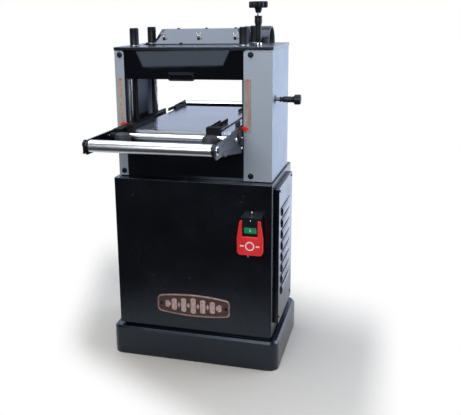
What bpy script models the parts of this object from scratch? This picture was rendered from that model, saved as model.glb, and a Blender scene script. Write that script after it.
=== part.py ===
"""Thickness planer on a closed stand, built piece by piece.

Axes: +Z up, the infeed side faces -Y, the drive side is +X.
The origin is the centre of the underside of the plinth.
All sizes below are in millimetres; meshes are made in metres.
"""
import math

import bmesh
import bpy
from mathutils import Vector

MM = 0.001
GAP = 0.3                                     # clearance between touching pieces

# ---------------------------------------------------------------- driving sizes
PLINTH_X, PLINTH_Y, PLINTH_TOP = 252, 172, 88
CABINET_X, CABINET_Y = 232, 158
CABINET_BOTTOM, CABINET_TOP = 96, 546
WALL = 4                                      # cabinet sheet and frame
BODY_X, BODY_Y = 225, 128                     # planing head above the stand
PLATE_BOTTOM, PLATE_TOP = 905, 914            # top plate
THROAT_LEFT, THROAT_RIGHT = -197, 146         # inner edges of the side covers
COVER_BOTTOM = 826                            # lower edge of the front cover
BASE_TOP = 655
SHEET = 2.5                                   # folded side covers

TABLE_TOP = 703                               # table at the bottom of its travel
TABLE_LEFT, TABLE_RIGHT, TABLE_Y = -141, 107, 239
TABLE_THICK = 14
RAIL_FRONT, RAIL_REAR = -240, 184             # ends of the side rails
RAIL_LEFT = (-190, -166)
RAIL_RIGHT = (112, 139)
ARM_THICK = 4
ROLLER_Y, ROLLER_R = 398, 15.3                # outer support rollers
ROLLER_Z = TABLE_TOP - ROLLER_R - 1.5
ROLLER_PIN = 4
NEAR_Y, NEAR_R, NEAR_Z = -262, 8, 689         # slim roller at the table lip
NEAR_PIN = 3
STRAP_TOP, STRAP_Y = 664, -295                # straps that carry the work guides

COLUMN_LEFT, COLUMN_RIGHT, COLUMN_Y, COLUMN_R = -192, 155, 106, 8
SCREW_LEFT, SCREW_RIGHT, SCREW_Y, SCREW_R = -185, 134.5, 72, 6
CAP_R, CAP_TOP = 12.8, 964.5
CRANK_X, CRANK_Y = 170, -50
SPROCKET_R, SPROCKET_Z, SPROCKET_H = 14, 566, 5
CHAIN_THICK = 3
PAN_TOP = 556                                 # floor inside the base, under the screws

CUTTER_Z, CUTTER_R, CUTTER_SHAFT_R = 858, 27, 12
FEED_Y, FEED_Z, FEED_R, FEED_SHAFT_R = 45, 845, 15, 8
HEAD_LEFT, HEAD_RIGHT, HEAD_FRONT, HEAD_REAR = -198.5, 147, -94, 60
FINGER_Y, FINGER_Z = -88, 850                # pivot of the anti-kickback fingers
LINER_LEFT, LINER_RIGHT = -203, 148
MOTOR_Z, MOTOR_R = 230, 65
MOTOR_PULLEY_R, CUTTER_PULLEY_R = 45, 32
BELT_X0, BELT_X1, BELT_THICK = 192, 212, 8

KNOB_Y, KNOB_Z = -90, 772                     # feed speed knob on the drive side
SWITCH_X, BUTTON_Z, SWITCH_TOP = 177.5, 424.5, 461.5

# ------------------------------------------------------------------- materials
PALETTE = {
    "black_paint": ((0.012, 0.013, 0.016), 0.25, 0.0),
    "silver_paint": ((0.30, 0.34, 0.40), 0.40, 0.3),
    "black_plastic": ((0.015, 0.015, 0.016), 0.50, 0.0),
    "steel": ((0.55, 0.56, 0.58), 0.28, 1.0),
    "chrome": ((0.80, 0.80, 0.82), 0.08, 1.0),
    "cast_iron": ((0.36, 0.37, 0.40), 0.35, 1.0),
    "red_plastic": ((0.60, 0.03, 0.03), 0.40, 0.0),
    "green_plastic": ((0.02, 0.30, 0.10), 0.40, 0.0),
    "rubber": ((0.02, 0.02, 0.02), 0.85, 0.0),
    "pewter": ((0.30, 0.18, 0.14), 0.35, 1.0),
}


def material(name):
    """Return the named Principled material, making it on first use."""
    found = bpy.data.materials.get(name)
    if found:
        return found
    colour, roughness, metallic = PALETTE[name]
    made = bpy.data.materials.new(name)
    made.use_nodes = True
    shader = made.node_tree.nodes["Principled BSDF"]
    shader.inputs["Base Color"].default_value = (*colour, 1.0)
    shader.inputs["Roughness"].default_value = roughness
    shader.inputs["Metallic"].default_value = metallic
    return made


# ------------------------------------------------------------ shapes as bmeshes
def box(x0, x1, y0, y1, z0, z1):
    return prism("z", [(x0, y0), (x1, y0), (x1, y1), (x0, y1)], z0, z1)


def prism(axis, outline, start, end):
    """Extrude a closed outline along an axis; the outline holds the other two."""
    place = {
        "x": lambda a, b, t: (t, a, b),
        "y": lambda a, b, t: (a, t, b),
        "z": lambda a, b, t: (a, b, t),
    }[axis]
    shape = bmesh.new()
    rings = [[shape.verts.new(place(a, b, t)) for a, b in outline] for t in (start, end)]
    shape.faces.new(rings[0])
    shape.faces.new(rings[1])
    count = len(outline)
    for i in range(count):
        j = (i + 1) % count
        shape.faces.new((rings[0][i], rings[0][j], rings[1][j], rings[1][i]))
    bmesh.ops.recalc_face_normals(shape, faces=shape.faces)
    return shape


def turned(axis, centre, profile, segments=24):
    """Turn (radius, height) points round an axis; the ends are closed discs."""
    along = {"x": 0, "y": 1, "z": 2}[axis]
    others = [i for i in range(3) if i != along]
    shape = bmesh.new()
    rings = []
    for radius, height in profile:
        ring = []
        for k in range(segments):
            angle = math.tau * k / segments
            point = [0.0, 0.0, 0.0]
            point[along] = height
            point[others[0]] = centre[0] + radius * math.cos(angle)
            point[others[1]] = centre[1] + radius * math.sin(angle)
            ring.append(shape.verts.new(point))
        rings.append(ring)
    for low, high in zip(rings, rings[1:]):
        for k in range(segments):
            n = (k + 1) % segments
            shape.faces.new((low[k], low[n], high[n], high[k]))
    shape.faces.new(rings[0])
    shape.faces.new(rings[-1])
    bmesh.ops.recalc_face_normals(shape, faces=shape.faces)
    return shape


def rod(axis, centre, radius, start, end, segments=24):
    return turned(axis, centre, [(radius, start), (radius, end)], segments)


def loft(lower, upper):
    """Bridge two closed loops of 3-D points that have the same length."""
    shape = bmesh.new()
    rings = [[shape.verts.new(p) for p in loop] for loop in (lower, upper)]
    shape.faces.new(rings[0])
    shape.faces.new(rings[1])
    for i in range(len(lower)):
        j = (i + 1) % len(lower)
        shape.faces.new((rings[0][i], rings[0][j], rings[1][j], rings[1][i]))
    bmesh.ops.recalc_face_normals(shape, faces=shape.faces)
    return shape


def rounded(x0, x1, y0, y1, radius, steps=4, corners=(1, 1, 1, 1)):
    """A rectangle's outline with round corners, from the lower left one on."""
    centres = [(x0, y0, 180), (x1, y0, 270), (x1, y1, 0), (x0, y1, 90)]
    points = []
    for (x, y, first), is_round in zip(centres, corners):
        if not is_round:
            points.append((x, y))
            continue
        cx = x + radius if x == x0 else x - radius
        cy = y + radius if y == y0 else y - radius
        for k in range(steps + 1):
            angle = math.radians(first + 90 * k / steps)
            points.append((cx + radius * math.cos(angle), cy + radius * math.sin(angle)))
    return points


def wrap(circles, grow, steps=6):
    """Outline of a band round circles (x, y, r), given in turning order."""
    points = []
    count = len(circles)
    for i in range(count):
        here, before, after = circles[i], circles[i - 1], circles[(i + 1) % count]
        start = tangent_angle(before, here)
        end = tangent_angle(here, after)
        while end < start:
            end += math.tau
        for k in range(steps + 1):
            angle = start + (end - start) * k / steps
            radius = here[2] + grow
            points.append((here[0] + radius * math.cos(angle), here[1] + radius * math.sin(angle)))
    return points


def tangent_angle(a, b):
    """Direction of the outer normal of the run from circle a to circle b."""
    dx, dy = b[0] - a[0], b[1] - a[1]
    return math.atan2(dy, dx) - math.acos((a[2] - b[2]) / math.hypot(dx, dy))


# ----------------------------------------------------------------- object making
def as_object(name, shape, origin=(0, 0, 0)):
    """Turn a bmesh in millimetres into an object whose origin is given."""
    bmesh.ops.translate(shape, verts=shape.verts, vec=-Vector(origin))
    bmesh.ops.scale(shape, verts=shape.verts, vec=(MM, MM, MM))
    mesh = bpy.data.meshes.new(name)
    shape.to_mesh(mesh)
    shape.free()
    made = bpy.data.objects.new(name, mesh)
    made.location = Vector(origin) * MM
    bpy.context.collection.objects.link(made)
    return made


def piece(name, finish, shape, add=(), cut=(), origin=(0, 0, 0), sharp=35):
    """One named solid: a shape, with others joined to it and cut out of it."""
    made = as_object(name, shape, origin)
    helpers = []
    for operation, shapes in (("UNION", add), ("DIFFERENCE", cut)):
        for other in shapes:
            helper = as_object("helper", other)
            helper.hide_render = True
            helper.display_type = "WIRE"
            step = made.modifiers.new(operation.title(), "BOOLEAN")
            step.operation = operation
            step.object = helper
            helpers.append(helper)
    if helpers:
        bpy.context.view_layer.update()
        graph = bpy.context.evaluated_depsgraph_get()
        result = bpy.data.meshes.new_from_object(made.evaluated_get(graph))
        made.modifiers.clear()
        made.data = result
        result.name = name
        for helper in helpers:
            bpy.data.objects.remove(helper)
    made.data.materials.clear()
    made.data.materials.append(material(finish))
    made.data.shade_smooth()
    made.data.set_sharp_from_angle(angle=math.radians(sharp))
    return made


# -------------------------------------------------------------------- the stand
def make_stand():
    shoulder, edge = PLINTH_TOP - 6, 28
    outline = rounded(-PLINTH_X, PLINTH_X, -PLINTH_Y, PLINTH_Y, edge)
    inset = rounded(-PLINTH_X + 6, PLINTH_X - 6, -PLINTH_Y + 6, PLINTH_Y - 6, edge - 6)
    piece("plinth", "black_paint",
          prism("z", outline, 0, shoulder),
          add=[loft([(x, y, shoulder - 0.01) for x, y in outline],
                    [(x, y, PLINTH_TOP) for x, y in inset])],
          cut=[prism("z", inset, 4, PLINTH_TOP - 5), box(-200, 200, -125, 125, 50, PLINTH_TOP + 1)])
    inner_x, inner_y = CABINET_X - WALL, CABINET_Y - WALL
    piece("cabinet", "black_paint",
          prism("z", rounded(-CABINET_X, CABINET_X, -CABINET_Y, CABINET_Y, 6, 2),
                CABINET_BOTTOM, CABINET_TOP),
          add=[box(-CABINET_X + 10, CABINET_X - 10, -CABINET_Y + 10, CABINET_Y - 10,
                   PLINTH_TOP + GAP, CABINET_BOTTOM + 3)],
          cut=[box(-inner_x, inner_x, -inner_y, inner_y, CABINET_BOTTOM + 3, CABINET_TOP - WALL),
               box(-inner_x + 10, inner_x - 10, -inner_y + 10, inner_y - 10,
                   PLINTH_TOP - 1, CABINET_BOTTOM + 4),
               box(BELT_X0 - 5, BELT_X1 + 5, -52, 52, CABINET_TOP - 10, CABINET_TOP + 1),
               box(inner_x - 1, CABINET_X + 1, -95, 95, 150, 505)])
    pitch, lowest = 34, 215
    louvres = [box(241, 250, -86, 58, lowest + pitch * k, lowest + pitch * k + 9) for k in range(8)]
    piece("vent_panel", "black_paint",
          prism("x", rounded(-120, 105, 125, 530, 6, 2), CABINET_X + GAP, 245),
          cut=[box(CABINET_X, 242.5, -116, 101, 129, 526)] + louvres)
    piece("badge", "pewter", prism("y", badge_outline(), -CABINET_Y - 4.5, -CABINET_Y - GAP))
    piece("motor_mount", "black_paint",
          box(-85, 175, -120, 120, 150, 156),
          add=[box(-85, 175, side * 110 - 3, side * 110 + 3, 4 + GAP, 151) for side in (-1, 1)])
    piece("motor", "black_paint",
          rod("x", (0, MOTOR_Z), MOTOR_R, -60, 150, 32),
          add=[box(-40, 130, -50, 50, 156 + GAP, 175),
               box(0, 90, -90, -50, MOTOR_Z - 30, MOTOR_Z + 30)],
          cut=[rod("x", (0, MOTOR_Z), 9.4, 120, 151)])


def badge_outline():
    """A long plate with a swollen middle and short notched ends."""
    half_x, half_z, centre_x, centre_z, steps = 110, 34, 2, 173, 16
    upper = []
    for k in range(steps + 1):
        t = -math.cos(math.pi * k / steps)
        swell = (1 - 0.28 * t * t) * (1 - 0.35 * abs(t) ** 40)
        upper.append((centre_x + half_x * t, centre_z + half_z * swell))
    lower = [(x, 2 * centre_z - z) for x, z in reversed(upper)]
    return upper + lower


def make_switch():
    """A switch box whose stop paddle hangs under its brow and straddles the start button."""
    back, plate, front = -CABINET_Y - GAP, -176, -190
    low, high = BUTTON_Z - 9, BUTTON_Z + 9
    window, brow = 18, SWITCH_TOP - 4.3
    piece("switch_box", "black_plastic",
          prism("y", rounded(SWITCH_X - 30, SWITCH_X + 30, 360, SWITCH_TOP, 6, 2), plate, back),
          add=[box(SWITCH_X - 21, SWITCH_X + 21, front, plate + 1, low - 4, brow + 1),
               box(SWITCH_X - 27, SWITCH_X + 29, front - 1, plate + 1, brow, SWITCH_TOP - 0.1)],
          cut=[box(SWITCH_X - window, SWITCH_X + window, front - 1, front + 13, low, high)])
    piece("start_button", "green_plastic",
          prism("y", rounded(SWITCH_X - window + 0.5, SWITCH_X + window - 0.5, low + 0.5, high - 0.5, 2, 2),
                front + 1, front + 8))
    half, neck, slot, foot, tip = 36.3, 29.3, 21.6, 355, brow - 3.2
    fork = [(slot, low - 7), (slot, tip), (neck - 2, tip), (neck, tip - 3), (half, foot + 50)]
    corner = 11
    for k in range(5):
        angle = math.radians(90 * k / 4)
        fork.append((half - corner + corner * math.cos(angle), foot + corner - corner * math.sin(angle)))
    outline = [(SWITCH_X + x, z) for x, z in fork]
    outline += [(SWITCH_X - x, z) for x, z in reversed(fork)]
    piece("stop_paddle", "red_plastic", prism("y", outline, front - 5, front + 3),
          origin=(SWITCH_X, front + 1, tip - 5))


# ------------------------------------------------------------- fixed head frame
def make_body():
    floor = CABINET_TOP + GAP
    piece("base", "black_paint",
          box(-BODY_X + 4, BODY_X - 4, -BODY_Y + 4, BODY_Y - 4, floor, BASE_TOP),
          cut=[box(-BODY_X + 10, BODY_X - 10, -BODY_Y + 10, BODY_Y - 10, PAN_TOP, BASE_TOP + 1),
               box(BELT_X0 - 5, BODY_X - 10, -52, 52, floor - 1, PAN_TOP + 1)])
    side_cover("left_cover", -1, THROAT_LEFT)
    side_cover("right_cover", 1, THROAT_RIGHT)
    bores = shaft_bores(4)
    piece("left_liner", "black_paint", box(LINER_LEFT, LINER_LEFT + 3, -60, 60, 660, PLATE_BOTTOM - GAP))
    piece("right_liner", "black_paint",
          box(LINER_RIGHT, LINER_RIGHT + 3, -60, 60, 660, PLATE_BOTTOM - GAP), cut=bores)
    piece("top_plate", "black_paint",
          prism("z", rounded(-BODY_X - 2, BODY_X + 2, -BODY_Y - 2, BODY_Y + 2, 4, 2),
                PLATE_BOTTOM, PLATE_TOP),
          cut=[box(-140, 90, 50, 108, PLATE_BOTTOM - 1, PLATE_TOP + 1),
               rod("z", (CRANK_X, CRANK_Y), 7, PLATE_BOTTOM - 1, PLATE_TOP + 1, 16)])
    left, right = THROAT_LEFT + 0.5, THROAT_RIGHT - 0.5
    front = -BODY_Y + 1
    piece("front_cover", "black_paint",
          box(left, right, front, front + 2.5, COVER_BOTTOM, PLATE_BOTTOM - GAP),
          add=[box(left, right, front, -118, COVER_BOTTOM, COVER_BOTTOM + 2.5),
               prism("y", rounded(-66, 9, COVER_BOTTOM - 4, COVER_BOTTOM + 18, 6, 3, (1, 1, 0, 0)),
                     front - 4, front + 1)])
    piece("rear_cover", "black_paint",
          box(left, right, BODY_Y - 3.5, BODY_Y - 1, COVER_BOTTOM, PLATE_BOTTOM - GAP))
    ends = [box(x, x + 8, HEAD_FRONT, HEAD_REAR, COVER_BOTTOM, 898)
            for x in (HEAD_LEFT, HEAD_RIGHT - 8)]
    passages = [rod("z", (x, y), SCREW_R + 1, 800, 920)
                for _, x, y in corner_places(SCREW_LEFT, SCREW_RIGHT, SCREW_Y)]
    passages.append(rod("x", (FINGER_Y, FINGER_Z), 5 + GAP, -230, 230))
    piece("head_frame", "cast_iron",
          box(HEAD_LEFT, HEAD_RIGHT, HEAD_FRONT, 30, 896, PLATE_BOTTOM - GAP), add=ends,
          cut=shaft_bores(GAP) + passages)
    for name, x, y in corner_places(COLUMN_LEFT, COLUMN_RIGHT, COLUMN_Y):
        piece("column_" + name, "chrome", rod("z", (x, y), COLUMN_R, PAN_TOP + GAP, PLATE_BOTTOM - GAP))
    for name, x, y in corner_places(SCREW_LEFT, SCREW_RIGHT, SCREW_Y):
        base = PLATE_TOP + GAP
        piece("screw_cap_" + name, "black_plastic",
              turned("z", (x, y), [(CAP_R + 1.5, base), (CAP_R + 1.5, base + 2), (CAP_R, base + 2),
                                   (CAP_R, CAP_TOP - 2), (CAP_R - 2, CAP_TOP)]))
    circles = [(SCREW_LEFT, -SCREW_Y, SPROCKET_R), (SCREW_RIGHT, -SCREW_Y, SPROCKET_R),
               (CRANK_X, CRANK_Y, SPROCKET_R), (SCREW_RIGHT, SCREW_Y, SPROCKET_R),
               (SCREW_LEFT, SCREW_Y, SPROCKET_R)]
    piece("lift_chain", "steel",
          prism("z", wrap(circles, GAP + CHAIN_THICK), SPROCKET_Z, SPROCKET_Z + SPROCKET_H),
          cut=[prism("z", wrap(circles, GAP), SPROCKET_Z - 1, SPROCKET_Z + SPROCKET_H + 1)])


def corner_places(left, right, depth):
    """The four corners, with the names that their pieces carry."""
    return [("front_left", left, -depth), ("front_right", right, -depth),
            ("rear_left", left, depth), ("rear_right", right, depth)]


def shaft_bores(clearance):
    """Cutters for the three shafts that cross the head."""
    bores = [rod("x", (0, CUTTER_Z), CUTTER_SHAFT_R + clearance, -230, 230)]
    for y in (-FEED_Y, FEED_Y):
        bores.append(rod("x", (y, FEED_Z), FEED_SHAFT_R + clearance, -230, 230))
    return bores


def side_cover(name, side, inner_edge):
    """A folded channel: a side wall with a flange to the front and the rear."""
    outer = side * BODY_X
    x0, x1 = sorted((outer, inner_edge))
    low, high = CABINET_TOP + 2, PLATE_BOTTOM - GAP
    corners = (0, 0, 0, 1) if side > 0 else (0, 0, 1, 0)
    flange = rounded(x0, x1, low, high, 9, 4, corners)
    wall = sorted((outer, outer - side * SHEET))
    piece(name, "silver_paint",
          box(*wall, -BODY_Y, BODY_Y, low, high),
          add=[prism("y", flange, -BODY_Y, -BODY_Y + SHEET),
               prism("y", flange, BODY_Y - SHEET, BODY_Y)],
          cut=[rod("x", (KNOB_Y, KNOB_Z), 7, 200, 240, 16)] if side > 0 else [])


def make_dust_hood():
    """A sloping hood on the top plate, and a chute with a round port behind."""
    base = PLATE_TOP + GAP

    def ring(x0, x1, y0, y1, z, chamfer):
        return [(x0 + chamfer, y0, z), (x1 - chamfer, y0, z), (x1, y0 + chamfer, z), (x1, y1, z),
                (x0, y1, z), (x0, y0 + chamfer, z)]

    piece("dust_hood", "black_paint",
          loft(ring(-166, 116, 20, 128, base, 8), ring(-155, 105, 62, 128, 957, 20)),
          add=[box(-190, 139, 12, 128, base, base + 2)],
          cut=[loft(ring(-163, 113, 24, 129, base - 1, 8), ring(-152, 102, 64, 129, 954, 20))]
          + [rod("z", (x, SCREW_Y), CAP_R + 3, base - 5, base + 50)
             for x in (SCREW_LEFT, SCREW_RIGHT)])
    port_y, port_z, port_r = 185, 911, 50
    tube = rod("x", (port_y, port_z), port_r, 80, 164, 32)
    bore = rod("x", (port_y, port_z), port_r - 3, 60, 165, 32)
    inside = box(-147, 97, BODY_Y, 232, 865, 947)
    piece("dust_chute", "black_plastic",
          box(-150, 100, BODY_Y + 2 + GAP, 235, 862, 950), add=[tube], cut=[inside, bore])


# ---------------------------------------------------------------- drive and feed
def make_drive():
    piece("cutterhead", "steel",
          turned("x", (0, CUTTER_Z),
                 [(CUTTER_SHAFT_R, -199), (CUTTER_SHAFT_R, -188), (CUTTER_R, -188), (CUTTER_R, 137),
                  (CUTTER_SHAFT_R, 137), (CUTTER_SHAFT_R, 216)], 32),
          origin=(0, 0, CUTTER_Z))
    pulley("cutterhead_pulley", CUTTER_Z, CUTTER_PULLEY_R, CUTTER_SHAFT_R + GAP)
    piece("motor_pulley", "cast_iron",
          turned("x", (0, MOTOR_Z),
                 [(9, 122), (9, BELT_X0 - 2), (MOTOR_PULLEY_R + 4, BELT_X0 - 2),
                  (MOTOR_PULLEY_R + 4, BELT_X0 - GAP), (MOTOR_PULLEY_R, BELT_X0 - GAP),
                  (MOTOR_PULLEY_R, BELT_X1 + GAP), (MOTOR_PULLEY_R + 4, BELT_X1 + GAP),
                  (MOTOR_PULLEY_R + 4, BELT_X1 + 2)], 32),
          origin=(0, 0, MOTOR_Z))
    circles = [(0, MOTOR_Z, MOTOR_PULLEY_R), (0, CUTTER_Z, CUTTER_PULLEY_R)]
    piece("drive_belt", "rubber",
          prism("x", wrap(circles, 2 * GAP + BELT_THICK, 20), BELT_X0, BELT_X1),
          cut=[prism("x", wrap(circles, 2 * GAP, 20), BELT_X0 - 1, BELT_X1 + 1)])
    for name, y, finish in (("infeed_roller", -FEED_Y, "steel"), ("outfeed_roller", FEED_Y, "rubber")):
        piece(name, finish,
              turned("x", (y, FEED_Z),
                     [(FEED_SHAFT_R, -199), (FEED_SHAFT_R, -187), (FEED_R, -187), (FEED_R, 136),
                      (FEED_SHAFT_R, 136), (FEED_SHAFT_R, 153), (13, 153), (13, 157)]),
              origin=(0, y, FEED_Z))
    piece("feed_gearbox", "cast_iron", box(176, 212, -118, -60, 738, 806),
          cut=[rod("x", (KNOB_Y, KNOB_Z), 5 + GAP, 184, 213, 16)])
    piece("speed_knob", "black_plastic",
          turned("x", (KNOB_Y, KNOB_Z),
                 [(5, 200), (5, 238), (7, 238), (7, 251), (5.5, 253), (5.5, 258), (8.3, 260),
                  (8.3, 279), (13, 283), (13, 292), (10, 295)]),
          origin=(225, KNOB_Y, KNOB_Z))
    tip = COVER_BOTTOM + 1
    outline = [(FINGER_Y - 4, FINGER_Z - 4), (FINGER_Y + 4, FINGER_Z - 4), (FINGER_Y + 7, tip),
               (FINGER_Y + 4, tip)]
    fingers = [prism("x", outline, x, x + 6) for x in range(-170, 120, 16)]
    piece("kickback_fingers", "steel",
          rod("x", (FINGER_Y, FINGER_Z), 5, -197, 145, 12), add=fingers,
          origin=(0, FINGER_Y, FINGER_Z))


def pulley(name, z, radius, bore):
    rim = radius + 4
    piece(name, "cast_iron",
          turned("x", (0, z),
                 [(rim, BELT_X0 - 2), (rim, BELT_X0 - GAP), (radius, BELT_X0 - GAP),
                  (radius, BELT_X1 + GAP), (rim, BELT_X1 + GAP), (rim, BELT_X1 + 2)], 32),
          cut=[rod("x", (0, z), bore, BELT_X0 - 5, BELT_X1 + 5, 32)],
          origin=(0, 0, z))


# ------------------------------------------------------------- lift and its crank
def make_lift():
    top = SPROCKET_Z + SPROCKET_H
    for name, x, y in corner_places(SCREW_LEFT, SCREW_RIGHT, SCREW_Y):
        piece("lead_screw_" + name, "steel",
              turned("z", (x, y),
                     [(SCREW_R, PAN_TOP + GAP), (SCREW_R, SPROCKET_Z), (SPROCKET_R, SPROCKET_Z),
                      (SPROCKET_R, top), (SCREW_R, top), (SCREW_R, PLATE_BOTTOM - GAP)], 20),
              origin=(x, y, SPROCKET_Z))
    piece("crank_spindle", "black_plastic",
          turned("z", (CRANK_X, CRANK_Y),
                 [(5, PAN_TOP + GAP), (5, SPROCKET_Z), (SPROCKET_R, SPROCKET_Z), (SPROCKET_R, top),
                  (5, top), (5, 924), (8.5, 928), (8.5, 945), (10.5, 968), (10.5, 993), (4, 993),
                  (4, 1000)], 20),
          origin=(CRANK_X, CRANK_Y, PLATE_TOP))
    lobes = 6
    outline = []
    for k in range(lobes * 6):
        angle = math.tau * k / (lobes * 6)
        radius = 23.5 + 2.5 * math.cos(lobes * angle)
        outline.append((CRANK_X + radius * math.cos(angle), CRANK_Y + radius * math.sin(angle)))
    piece("crank_knob", "black_plastic",
          prism("z", outline, 1014, 1031),
          add=[turned("z", (CRANK_X, CRANK_Y), [(7, 1000 + GAP), (11, 1015)], 20)],
          origin=(CRANK_X, CRANK_Y, PLATE_TOP))


# --------------------------------------------------------------- rising table set
def make_table():
    under = TABLE_TOP - TABLE_THICK
    lips = [box(TABLE_LEFT, TABLE_RIGHT, side * (TABLE_Y - 8) - 8, side * (TABLE_Y - 8) + 8,
                670, TABLE_TOP) for side in (-1, 1)]
    piece("table", "cast_iron",
          box(TABLE_LEFT, TABLE_RIGHT, -TABLE_Y + 0.5, TABLE_Y - 0.5, under, TABLE_TOP - 0.01), add=lips)
    beams = [box(-206, 169, min(y0, y1), max(y0, y1), 662, under - GAP)
             for y0, y1 in ((62.5, 119), (-62.5, -119))]
    holes = [rod("z", (x, y), COLUMN_R + GAP, 650, 700)
             for _, x, y in corner_places(COLUMN_LEFT, COLUMN_RIGHT, COLUMN_Y)]
    holes += [rod("z", (x, y), SCREW_R + GAP, 650, 700)
              for _, x, y in corner_places(SCREW_LEFT, SCREW_RIGHT, SCREW_Y)]
    piece("table_carriage", "cast_iron",
          box(-70, 40, -63, 63, 662, under - GAP - 0.01), add=beams, cut=holes)
    side_rail("left", RAIL_LEFT, -1, COLUMN_LEFT, SCREW_LEFT)
    side_rail("right", RAIL_RIGHT, 1, COLUMN_RIGHT, SCREW_RIGHT)
    support_roller("front_roller", -ROLLER_Y, ROLLER_Z, ROLLER_R, ROLLER_PIN, (-194, 143.5), (-186, 136))
    support_roller("near_roller", NEAR_Y, NEAR_Z, NEAR_R, NEAR_PIN, (-193, 142), (-186, 136))
    support_roller("rear_roller", ROLLER_Y, ROLLER_Z, ROLLER_R, ROLLER_PIN, (-189.5, 138.5), (-185, 134))
    piece("guide_bar", "steel", box(-190, 139, STRAP_Y - 6, STRAP_Y + 6, 651, STRAP_TOP - 4))
    work_guide("left", -143.5, -126, 12, -139)
    work_guide("right", 75, 110, 12, 98)
    pointer("left", -190.5, -216, TABLE_TOP - 5)
    pointer("right", 139.6, 160, TABLE_TOP - 8)


def side_rail(name, sides, side, column_x, screw_x):
    """A rail beside the table, cut round its column and screw, and the two roller arms."""
    x0, x1 = sides
    outer = x0 if side < 0 else x1
    under, arm_top = TABLE_TOP - TABLE_THICK, TABLE_TOP - 1
    across = (-220, 170)
    shoulder = BODY_Y - 7
    notches = [rod("z", (screw_x, y), SCREW_R + 2, 640, 720, 16) for y in (-SCREW_Y, SCREW_Y)]
    notches += [rod("z", (column_x, y), COLUMN_R + 2, 640, 720, 16) for y in (-COLUMN_Y, COLUMN_Y)]
    tail = sorted((outer, outer - side * ARM_THICK))
    rear_arm = [(shoulder - 2, 660), (ROLLER_Y - 8, 666), (ROLLER_Y + 10, 676), (ROLLER_Y + 12, 692),
                (ROLLER_Y + 4, arm_top), (290, arm_top - 3), (265, 680), (RAIL_REAR + 6, 680),
                (RAIL_REAR, arm_top), (shoulder - 2, arm_top)]
    piece("side_rail_" + name, "cast_iron",
          box(x0, x1, RAIL_FRONT, shoulder, under, TABLE_TOP), add=[prism("x", rear_arm, *tail)],
          cut=notches + [rod("x", (ROLLER_Y, ROLLER_Z), ROLLER_PIN + GAP, *across, 16)])
    arm = sorted((outer + side * GAP, outer + side * (GAP + ARM_THICK)))
    front_arm = [(-410, 672), (-402, 664), (-347, 663), (-131, 628), (-131, 700), (-390, 701),
                 (-404, 697), (-411, 689)]
    piece("extension_arm_" + name, "black_paint", prism("x", front_arm, *arm),
          cut=[rod("x", (-ROLLER_Y, ROLLER_Z), ROLLER_PIN + GAP, *across, 16),
               rod("x", (NEAR_Y, NEAR_Z), NEAR_PIN + GAP, *across, 16)])


def support_roller(name, y, z, radius, pin, pin_x, body_x):
    piece(name, "chrome",
          turned("x", (y, z), [(pin, pin_x[0]), (pin, body_x[0]), (radius, body_x[0]),
                               (radius, body_x[1]), (pin, body_x[1]), (pin, pin_x[1])], 32),
          origin=(0, y, z))


def work_guide(name, x0, x1, inset, knob_x):
    """A sliding bracket with two bars that lie over the table, and its knob."""
    top, bar, knob_reach = TABLE_TOP + 13, 3.6, 20
    shapes = [box(x0, x1, -253, -226, TABLE_TOP + 0.5, top),
              box(x0, x1, -253, -243, STRAP_TOP - 3.5, top - 1)]
    for x, end in ((x0 + 0.1, -113), (x0 + inset, -80)):
        shapes.append(box(x, x + bar, -230, end, TABLE_TOP + 1, top - 2))
    low = min(x0, knob_x - knob_reach)
    high = max(x1, knob_x + knob_reach)
    piece("work_guide_" + name, "black_plastic",
          box(low, high, -318, -244, STRAP_TOP - 3.5, STRAP_TOP), add=shapes,
          origin=((x0 + x1) / 2, STRAP_Y, STRAP_TOP))
    profile = [(15, GAP), (20, 7), (21.5, 24), (18, 34), (9, 39)]
    piece("guide_knob_" + name, "black_plastic",
          turned("z", (knob_x, STRAP_Y), [(radius, STRAP_TOP + height) for radius, height in profile]),
          origin=(knob_x, STRAP_Y, STRAP_TOP))


def pointer(name, root, tip, height):
    """A flat arrow that shows the table height on the scale beside it."""
    neck = (root + tip) / 2
    piece("pointer_" + name, "red_plastic",
          prism("y", [(root, height - 5), (neck, height - 5), (neck, height - 8.5), (tip, height),
                      (neck, height + 8.5), (neck, height + 5), (root, height + 5)],
                -BODY_Y - 2.6, -BODY_Y - 0.5))


def main():
    for old in list(bpy.data.objects):
        bpy.data.objects.remove(old)
    make_stand()
    make_switch()
    make_body()
    make_dust_hood()
    make_drive()
    make_lift()
    make_table()


main()
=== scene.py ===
"""Looks of a thickness planer on a closed stand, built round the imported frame.

Lengths are in millimetres and are turned into metres when a mesh is made.
Places come from the boxes of the frame's nodes.
"""
import math

import bmesh
import bpy
from mathutils import Matrix, Vector


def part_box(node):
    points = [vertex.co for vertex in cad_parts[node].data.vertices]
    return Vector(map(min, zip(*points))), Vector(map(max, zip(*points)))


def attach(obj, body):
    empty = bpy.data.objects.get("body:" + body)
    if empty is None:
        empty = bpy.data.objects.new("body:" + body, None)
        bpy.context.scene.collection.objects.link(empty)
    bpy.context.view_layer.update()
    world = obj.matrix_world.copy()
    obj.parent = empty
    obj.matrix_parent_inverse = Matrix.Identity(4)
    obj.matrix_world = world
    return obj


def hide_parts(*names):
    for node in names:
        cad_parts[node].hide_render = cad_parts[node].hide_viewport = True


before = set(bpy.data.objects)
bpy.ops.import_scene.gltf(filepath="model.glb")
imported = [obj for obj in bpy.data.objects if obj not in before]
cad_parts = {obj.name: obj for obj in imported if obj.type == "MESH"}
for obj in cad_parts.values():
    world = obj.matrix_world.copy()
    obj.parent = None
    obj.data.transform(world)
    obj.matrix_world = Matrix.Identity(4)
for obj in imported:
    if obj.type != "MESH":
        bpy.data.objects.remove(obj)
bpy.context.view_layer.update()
MM = 0.001

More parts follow.
